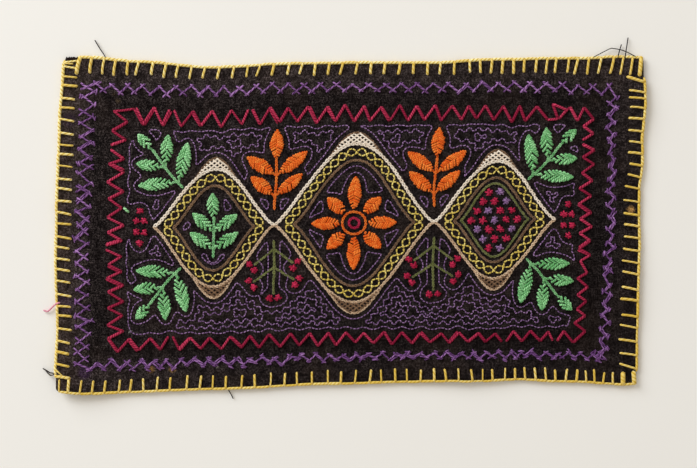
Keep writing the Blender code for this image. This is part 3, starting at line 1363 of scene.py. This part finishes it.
# (x, y, bearing, length) of each stalk with two berries.
BERRY_STALKS = ((-44.3, 14, 38, 13.5), (-44.3, 14, 142, 13.5), (-44.1, 24.5, 34, 13.5),
                (-44.1, 24.5, 146, 13.5), (-44.5, 34, 90, 6))


@dataclass(frozen=True)
class Medallion:
    """A pointed oval framed by two lines of chain stitch with a yellow braid between them."""

    across: float  # from the middle of the field to its own
    reach: float  # half its length
    rise: float  # half its height
    band: float = 9.5  # width of its frame
    crown_share: float = 0.36  # how much of the length the crown takes
    crown_depth: float = 6.4

    def flank(self, sign: float, inset: float = 0.0, until: float = 1.0) -> Array:
        """Draws the upper or the lower line of the oval, from left to right.

        Args:
            sign: 1.0 for the upper line, -1.0 for the lower.
            inset: how far it stands inside the outer line.
            until: how much of the half length it covers.

        Returns:
            The line.
        """
        share = np.linspace(-until, until, 121)
        bulge = np.cos(share * math.pi / 2).clip(0.0) ** 1.35
        x = self.across + share * (self.reach - inset * 1.15)
        return FIELD_MIDDLE + np.stack([x, sign * bulge * (self.rise - inset)], axis=1)

    def crown(self, sign: float) -> Array:
        """Outlines the swelling at the top or the bottom of the frame.

        Args:
            sign: 1.0 for the top, -1.0 for the bottom.

        Returns:
            The closed outline.
        """
        edge = self.flank(sign, until=self.crown_share)
        swell = np.sin(np.linspace(0.0, math.pi, len(edge))) ** 1.3 * self.crown_depth
        return np.concatenate([edge + swell[:, None] * (0.0, sign), edge[::-1]])


MEDALLIONS = (Medallion(-78.0, 33.5, 34.0), Medallion(0.0, 44.5, 46.0), Medallion(78.0, 33.5, 34.0))


@dataclass
class Centrepiece:
    """The repeating garden pattern inside the borders: medallions, palmettes and a rosette."""

    skeins: dict[str, Skein]
    braid_wave: float = 11.5  # length of one wave of the braid
    braid_swing: float = 2.3  # how far it swings to either side
    net_pitch: float = 2.0
    net_yarn: float = 0.50  # radius
    knot_yarn: float = 0.58  # radius
    petals: tuple[float, ...] = (15.0, 12.5, 18.5, 12.5) * 2  # their lengths
    petal_ring: float = 8.5  # from the middle of the rosette to its petals
    grid_step: tuple[float, float] = (6.4, 5.4)  # between star knots, across and up

    def frames(self) -> None:
        """Works the medallions' lines, their yellow braid and their net-filled crowns."""
        cream, tan, brown, braid = (self.skeins[name] for name in ("cream", "tan", "brown", "braid"))
        for oval in MEDALLIONS:
            cream.chain(oval.flank(1.0), 2.5, 2.3)
            tan.chain(oval.flank(-1.0), 2.3, 2.0)
            for sign in (1.0, -1.0):
                brown.chain(oval.flank(sign, oval.band), 2.2, 1.8)
            for sign, edge, net in ((1.0, brown, cream), (-1.0, tan, brown)):
                line = paced(oval.flank(sign, oval.band / 2, 0.97), 0.5)
                turns = 2 * math.pi * round(runs_of(line)[-1] / self.braid_wave)
                for phase in (0.0, math.pi):
                    wave = np.sin(np.linspace(phase, phase + turns, len(line))) * self.braid_swing
                    braid.running(beside_line(line, wave), stitch=2.0, gap=0.35, radius=0.46)
                crown = oval.crown(sign)
                edge.chain(crown[:len(crown) // 2], 2.0, 1.7)
                for degrees, rise in ((38.0, 0.25), (142.0, 0.5)):
                    ends = hatch(crown, degrees, self.net_pitch)
                    sway = net.chance.normal(0.0, 0.10, ends.shape)
                    net.lay(straight(*(ends + sway), Strand.LEG, rise), self.net_yarn)
                    net.reverse(*ends[:, ::2], self.net_yarn / 2)

    def sprays(self) -> None:
        """Works the green palmettes, the orange rosette and the orange sprays beside it."""
        green, orange = self.skeins["green_sprig"], self.skeins["orange_rosette"]
        for mirror in MIRRORS:
            PALMETTE.work(mirror, green)
        SPRIG.work(MIRRORS[0], green)
        stray = straight(np.array([[38.2, 104.8]]), np.array([[41.2, 102.0]]), Strand.BAR, 0.4)
        green.lay(stray, 0.75)
        for index, length in enumerate(self.petals):
            bearing = index * 360.0 / len(self.petals)
            base = FIELD_MIDDLE + ray(bearing) * self.petal_ring
            Leaf(base, bearing, length, 7.2, *CLOSE_WEAVE).work(orange)
        for radius, skein in ((6.6, orange), (3.0, self.skeins["crimson_fine"])):
            skein.chain(FIELD_MIDDLE + radius * ray(np.linspace(0.0, 360.0, 60)), 1.9, 1.8)
        for mirror in MIRRORS[::2]:
            PLUME.work(mirror, orange)

    def knots(self, centres: Array, yarn: str, size: float) -> None:
        """Works star knots: four stitches crossing on one spot.

        Args:
            centres: (x, y) of each knot.
            yarn: name of the yarn.
            size: length of a stitch.
        """
        skein, count = self.skeins[yarn], len(centres)
        for step in range(4):
            turn = np.degrees(skein.chance.normal(0.0, 0.16, count))
            reach = size / 2 * skein.chance.normal(1.0, 0.10, (count, 1))
            arm = ray(45.0 * step + turn) * reach
            middle = centres + skein.chance.normal(0.0, 0.18, (count, 2))
            paths = straight(middle - arm, middle + arm, Strand.BAR, 0.36 + 0.12 * step)
            skein.lay(paths, self.knot_yarn)

    def berries(self) -> None:
        """Works an olive spray of crimson berries under each link of the medallions."""
        olive, spots = self.skeins["olive"], []
        for mirror in MIRRORS[1::2]:
            olive.chain(bent(mirror.place(BERRY_STEM)), 1.9, 1.8)
            for x, y, bearing, length in BERRY_STALKS:
                foot, heading = mirror.place((x, y)), mirror.bearing(bearing)
                tip = foot + ray(heading) * length
                olive.chain(np.array([foot, tip]), 1.8, 1.6)
                spots += [tip + ray(heading + turn) * 3.0 for turn in (-50.0, 50.0)]
        self.knots(np.array(spots), "crimson_fine", 4.0)

    def grid(self) -> None:
        """Works the right medallion's grid of star knots, and those beyond the outer tips."""
        oval = MEDALLIONS[2]
        for sign in (1.0, -1.0):
            self.skeins["olive"].chain(oval.flank(sign, oval.band + 3.2), 1.9, 1.6)
        middle = FIELD_MIDDLE + (oval.across, 0.0)
        reach, rise = np.abs(oval.flank(1.0, oval.band + 5.6) - middle).max(axis=0)
        spots = {"crimson_fine": [], "violet_fine": []}
        for row in range(-4, 5):
            for column in range(-5, 6):
                x, y = (column + row % 2 / 2) * self.grid_step[0], row * self.grid_step[1]
                share = abs(x) / reach
                if share < 0.96 and abs(y) < rise * math.cos(share * math.pi / 2) ** 1.35:
                    yarn = "crimson_fine" if (row + column) % 3 else "violet_fine"
                    spots[yarn].append(middle + (x, y))
        self.knots(np.array(spots["crimson_fine"]), "crimson_fine", 4.5)
        self.knots(np.array(spots["violet_fine"]), "violet_fine", 4.3)
        for mirror in MIRRORS:
            self.knots(mirror.place(((116.5, 3.2), (121, 3.2), (119, 9))), "crimson_fine", 3.8)

    def build(self) -> None:
        """Works the whole centre."""
        self.frames()
        self.sprays()
        self.berries()
        self.grid()


@dataclass
class MeanderFilling:
    """Fine violet lines that echo every motif and meander through the ground between them."""

    panel: Panel
    skein: Skein
    first: float = 3.3  # distance of the first line from a motif
    spacing: float = 3.0
    grain: float = 1.0  # spacing of the grid on which distances are taken
    margin: float = 1.4  # how much nearer the zigzag border may be than a motif
    shortest: float = 15.0  # lines shorter than this are left out
    area: Places = ((38.0, 29.0), (294.0, 154.0))  # the corners of what it fills
    step: float = 5.2  # along a stepped line
    step_height: float = 1.05
    stitch: float = 1.5
    gap: float = 0.5
    yarn: float = 0.36  # radius

    def inside(self, flat: Array) -> Array:
        """Measures how far places lie inside the zigzag border.

        Args:
            flat: (x, y) rows.

        Returns:
            The distances.
        """
        x, y = flat.T
        top, right, bottom, left = (eased(work.inner, (at - work.start) / (work.end - work.start))
                                    for work, at in zip(ZIGZAG_SIDES, (x, y, x, y)))
        low, high = np.stack([left, bottom], axis=1), np.stack([right, top], axis=1)
        return np.minimum(flat - low, self.panel.size - flat - high).min(axis=1)

    def cage(self) -> bmesh.types.BMesh:
        """Draws a grid over the field whose height is the free distance at each point.

        Returns:
            The grid.
        """
        low, high = np.array(self.area)
        columns, rows = ((high - low) / self.grain).astype(int)
        cage = bmesh.new()
        bmesh.ops.create_grid(cage, x_segments=int(columns), y_segments=int(rows), size=0.5)
        spots = low + (np.array([vertex.co[:2] for vertex in cage.verts]) + 0.5) * (high - low)
        free = np.minimum(self.skein.ground.clearance(spots), self.inside(spots) + self.margin)
        for vertex, place in zip(cage.verts, raised(spots, free)):
            vertex.co = place
        bmesh.ops.triangulate(cage, faces=cage.faces[:])
        return cage

    def lines(self, cage: bmesh.types.BMesh, level: float) -> list[Array]:
        """Finds the lines that run at one distance from the motifs.

        Args:
            cage: the grid of distances.
            level: the distance.

        Returns:
            Each line's (x, y) points.
        """
        cut = cage.copy()
        result = bmesh.ops.bisect_plane(
            cut, geom=cut.verts[:] + cut.edges[:] + cut.faces[:], dist=1e-4,
            plane_co=(0.0, 0.0, level), plane_no=(0.0, 0.0, 1.0))
        edges = dict.fromkeys(e for e in result["geom_cut"] if isinstance(e, bmesh.types.BMEdge))
        found = []
        while edges:
            line = list(edges.popitem()[0].verts)
            for _ in range(2):
                while following := next((e for e in line[-1].link_edges if e in edges), None):
                    del edges[following]
                    line.append(following.other_vert(line[-1]))
                line.reverse()
            found.append(np.array([vertex.co[:2] for vertex in line]))
        cut.free()
        return found

    def build(self) -> None:
        """Works every line: the first plain, the others stepped."""
        cage = self.cage()
        deepest = max(vertex.co.z for vertex in cage.verts)
        for level in np.arange(self.first, deepest, self.spacing):
            for line in self.lines(cage, float(level)):
                if runs_of(line)[-1] < self.shortest:
                    continue
                smooth = paced(line, 1.6)
                smooth[1:-1] = (smooth[:-2] + smooth[1:-1] * 2 + smooth[2:]) / 4
                fine = paced(smooth, 0.35)
                if level > self.first:
                    turns = np.linspace(0.0, 2 * math.pi * runs_of(fine)[-1] / self.step, len(fine))
                    fine = beside_line(fine, np.tanh(3.0 * np.sin(turns)) * self.step_height)
                self.skein.running(fine, self.stitch, self.gap, self.yarn)
        cage.free()


# ---------------- loose ends

# Each loose end: (radius, places (x, y, height over the table) that it passes).
GREY_ENDS = (
    (0.32, ((24.0, 186.4, 1.9), (23.0, 188.6, 1.6), (20.2, 192.2, 0.9), (17.3, 196.6, 0.6))),
    (0.28, ((296.4, 187.0, 2.2), (301.0, 189.4, 1.5), (305.9, 191.7, 1.1), (307.4, 191.9, 1.1),
            (313.6, 190.4, 1.6), (320.2, 187.2, 2.6))),
    (0.32, ((310.4, 186.4, 2.4), (311.0, 189.0, 1.8), (312.5, 194.0, 0.9))),
    (0.32, ((314.4, 186.2, 2.4), (315.0, 190.0, 1.6), (316.2, 198.0, 0.6))),
    (0.34, ((2.5, 10.6, 4.6), (-0.8, 11.2, 3.2), (-2.8, 11.4, 2.0), (-3.8, 12.0, 1.2), (-6.8, 13.6, 0.5))),
    (0.30, ((2.5, 12.0, 4.6), (-1.2, 10.0, 3.0), (-3.4, 10.6, 1.4), (-5.6, 13.2, 0.5))),
    (0.30, ((96.6, 2.5, 1.9), (97.2, 0.2, 1.5), (98.6, -2.4, 0.7), (99.8, -5.0, 0.4))),
)
PINK_ENDS = (
    (0.50, ((3.0, 50.4, 2.4), (0.4, 49.4, 2.0), (-2.4, 47.0, 1.1), (-4.5, 45.4, 0.7), (-6.8, 46.0, 0.6))),
)


@dataclass
class LooseEnds:
    """The thread ends left hanging at the edge, and the stitches that close one corner."""

    panel: Panel
    grey: Skein
    pink: Skein
    overcast_yarn: float = 0.34  # radius

    def build(self) -> None:
        """Lays the ends, from the cloth down to the table, and overcasts the top left corner."""
        for skein, ends in ((self.grey, GREY_ENDS), (self.pink, PINK_ENDS)):
            for radius, places in ends:
                route = spread(bent(places, 0.3), Strand.TAIL)
                route[:, 2] -= self.panel.face(route[:, :2])
                skein.lay(route[None], radius, tall=1.0, planar=False, covers=False)
        x = np.arange(1.8, 8.6, 1.1)
        start = self.panel.beside(Side.TOP, x, 2.6)
        end = self.panel.beside(Side.TOP, x + self.grey.chance.uniform(0.3, 1.1, len(x)), 1.0)
        self.grey.lay(straight(start, end, Strand.BAR, 0.4), self.overcast_yarn)


# ---------------- the studio


@dataclass(frozen=True)
class Studio:
    """The table, the light and the camera over them, in metres."""

    field_width: float = 0.3903  # of the table in view
    lens: float = 70.0  # in mm, like the sensor
    sensor: float = 36.0
    aim: tuple[float, float] = (-0.0009, -0.0050)  # of the camera, from the cloth's middle
    lamp_place: tuple[float, float, float] = (-1.8, 1.8, 1.47)
    lamp_size: float = 1.86
    lamp_power: float = 74.0
    lamp_colour: tuple[float, float, float] = (0.95, 0.995, 1.06)
    room_colour: Colour = (1.0, 0.952, 0.888, 1.0)
    room_strength: float = 0.57

    def table(self) -> None:
        """Lays the table under the cloth."""
        deselect_all()
        bpy.ops.mesh.primitive_plane_add(size=6.0, location=(0.0, 0.0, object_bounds()[0].z))
        top = bpy.context.object
        top.name = top.data.name = "table_top"
        bpy.ops.object.transform_apply(location=True, rotation=False, scale=False)
        top.data.materials.append(TableFinish().material())
        top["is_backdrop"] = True

    def light(self, middle: Vector) -> None:
        """Hangs one soft square lamp and fills the room with pale light.

        Args:
            middle: where the lamp points.
        """
        light = bpy.data.lights.new("window_lamp", "AREA")
        light.size, light.energy, light.color = self.lamp_size, self.lamp_power, self.lamp_colour
        lamp = bpy.data.objects.new("window_lamp", light)
        bpy.context.scene.collection.objects.link(lamp)
        lamp.location = self.lamp_place
        lamp.rotation_euler = (middle - lamp.location).to_track_quat("-Z", "Y").to_euler()
        lamp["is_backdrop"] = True
        world = bpy.data.worlds.new("pale_room")
        world.use_nodes = True
        background = world.node_tree.nodes["Background"]
        background.inputs["Color"].default_value = self.room_colour
        background.inputs["Strength"].default_value = self.room_strength
        bpy.context.scene.world = world

    def camera(self, middle: Vector) -> None:
        """Hangs the camera straight over the cloth.

        Args:
            middle: the middle of the cloth.
        """
        data = bpy.data.cameras.new("overhead")
        data.lens, data.sensor_width = self.lens, self.sensor
        data.clip_start, data.clip_end = 0.05, 10.0
        camera = bpy.data.objects.new("overhead", data)
        bpy.context.scene.collection.objects.link(camera)
        distance = self.field_width * self.lens / self.sensor
        camera.location = (middle.x + self.aim[0], middle.y + self.aim[1], distance)
        bpy.context.scene.camera = camera

    def build(self) -> None:
        """Sets up the table, the light and the camera."""
        low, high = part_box(CLOTH_NODE)
        self.table()
        self.light((low + high) / 2)
        self.camera((low + high) / 2)
        bpy.context.scene.view_settings.view_transform = "Standard"


# ---------------- the whole cloth


YARNS = (
    YarnFinish("yellow_edging_yarn", "yellow_yarn", dye(198, 158, 38), dye(238, 200, 80),
               dye(255, 246, 184), 2.2, 0.08),
    YarnFinish("violet_border_yarn", "violet_yarn", dye(44, 12, 54), dye(112, 60, 128),
               dye(204, 154, 214), 3.0, 0.12, 0.08),
    YarnFinish("crimson_border_yarn", "crimson_yarn", dye(100, 0, 34), dye(138, 2, 46),
               dye(232, 80, 114), 1.4, 0.10, 0.03),
    YarnFinish("green_sprig_yarn", "green_yarn", dye(30, 94, 44), dye(124, 214, 124),
               dye(206, 255, 200), 1.25, 0.28),
    YarnFinish("orange_rosette_yarn", "orange_yarn", dye(188, 46, 0), dye(255, 109, 2),
               dye(255, 178, 84), 1.15, 0.24, 0.05),
    YarnFinish("violet_fine_yarn", "violet_yarn", dye(60, 34, 68), dye(140, 96, 152),
               dye(204, 162, 210), 1.2, 0.08),
    YarnFinish("crimson_fine_yarn", "crimson_yarn", dye(90, 0, 26), dye(190, 10, 62),
               dye(228, 70, 108), 1.3, sheen=0.04),
    YarnFinish("braid_yarn", "yellow_yarn", dye(160, 124, 26), dye(246, 218, 92),
               dye(255, 248, 170), 1.5),
    YarnFinish("cream_yarn", "earth_yarn", dye(208, 184, 156), dye(255, 240, 218),
               dye(255, 252, 242), 1.6),
    YarnFinish("tan_yarn", "earth_yarn", dye(148, 112, 82), dye(226, 192, 154), dye(246, 222, 190), 1.6),
    YarnFinish("brown_yarn", "earth_yarn", dye(62, 42, 26), dye(126, 92, 62), dye(172, 136, 102), 1.6),
    YarnFinish("olive_yarn", "earth_yarn", dye(52, 56, 20), dye(112, 118, 56), dye(156, 158, 96), 1.6),
    YarnFinish("grey_thread", "sewing_thread", dye(12, 7, 7), dye(30, 20, 20), dye(58, 44, 42),
               1.0, 0.05, 0.0),
    YarnFinish("pink_thread", None, dye(200, 104, 130), dye(240, 156, 178), dye(250, 206, 218),
               2.0, 0.2, 0.5),
)
FIRST_SEED = 41


def main() -> None:
    """Builds the cloth and everything stitched on it, then the room round it."""
    logging.basicConfig(level=logging.INFO, format="%(message)s")
    bpy.context.scene.unit_settings.system = "METRIC"
    panel, box, ground = Panel(), Needlebox.open(), Ground()
    skeins = {finish.name.removesuffix("_yarn"):
              Skein(finish, panel, box, ground, np.random.default_rng(seed))
              for seed, finish in enumerate(YARNS, FIRST_SEED)}

    cloth = ClothPanel(panel).build()
    BlanketEdging(panel, skeins["yellow_edging"]).build()
    ZigzagBorder(panel, skeins["violet_border"], HERRINGBONE_SIDES, 0.60, 1.8, 0.38).build()
    ZigzagBorder(panel, skeins["crimson_border"], ZIGZAG_SIDES, 0.84, 0.15, 0.45, parted=0.03).build()
    Centrepiece(skeins).build()
    MeanderFilling(panel, skeins["violet_fine"]).build()
    LooseEnds(panel, skeins["grey_thread"], skeins["pink_thread"]).build()

    pieces = [skein.wind_off() for skein in skeins.values()]
    Studio().build()


if __name__ == "__main__":
    main()
